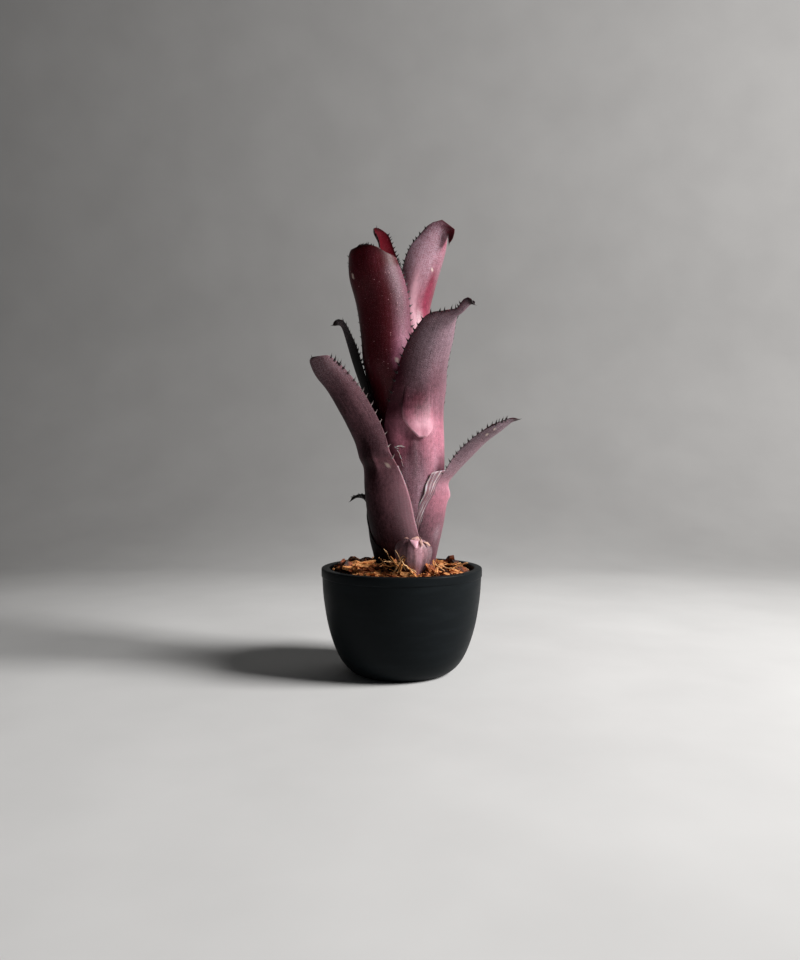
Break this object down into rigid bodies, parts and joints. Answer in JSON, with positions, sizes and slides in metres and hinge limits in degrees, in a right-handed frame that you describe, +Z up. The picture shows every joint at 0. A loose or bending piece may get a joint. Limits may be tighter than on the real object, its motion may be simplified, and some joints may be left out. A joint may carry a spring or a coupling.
{
  "type": "potted billbergia",
  "caption": "Upright tube of dark red, spiny strap leaves with a young offset, growing in bark chips in a round black pot.",
  "frame": {"origin": "centre of the pot's foot, on the surface it stands on", "axes": "+Z up the plant, -Y towards the viewer, +X to the viewer's right"},
  "size_m": [0.1623, 0.1342, 0.365],
  "materials": {
    "pot": "matte black",
    "substrate": "rough broken bark over dark soil",
    "stem": "dull, corky",
    "leaf_low_back": "dusky maroon, satin, dry at the tip",
    "leaf_low_left": "dark maroon, satin, grey bloom",
    "leaf_low_right": "rosy mauve, satin, grey bloom",
    "leaf_front": "greyish mauve blade over a rosy sheath, satin",
    "leaf_mid_left": "near-black maroon, satin",
    "leaf_mid_back": "rosy maroon, satin, grey bloom",
    "leaf_top_left": "deep maroon, satin, pale freckles",
    "leaf_top_right": "rosy mauve, glossier, dark red at the tip",
    "leaf_top_back": "clear wine red, satin",
    "offset_shoot": "satin, dark at the left and rosy in front, torn pale tip"
  },
  "bodies": {
    "root": {"pot": "pot", "substrate": "substrate", "stem": "stem", "leaf_low_back": "leaf_low_back", "leaf_low_left": "leaf_low_left", "leaf_low_right": "leaf_low_right", "leaf_front": "leaf_front", "leaf_mid_left": "leaf_mid_left", "leaf_mid_back": "leaf_mid_back", "leaf_top_left": "leaf_top_left", "leaf_top_right": "leaf_top_right", "leaf_top_back": "leaf_top_back", "offset_shoot": "offset_shoot"}
  },
  "joints": []
}
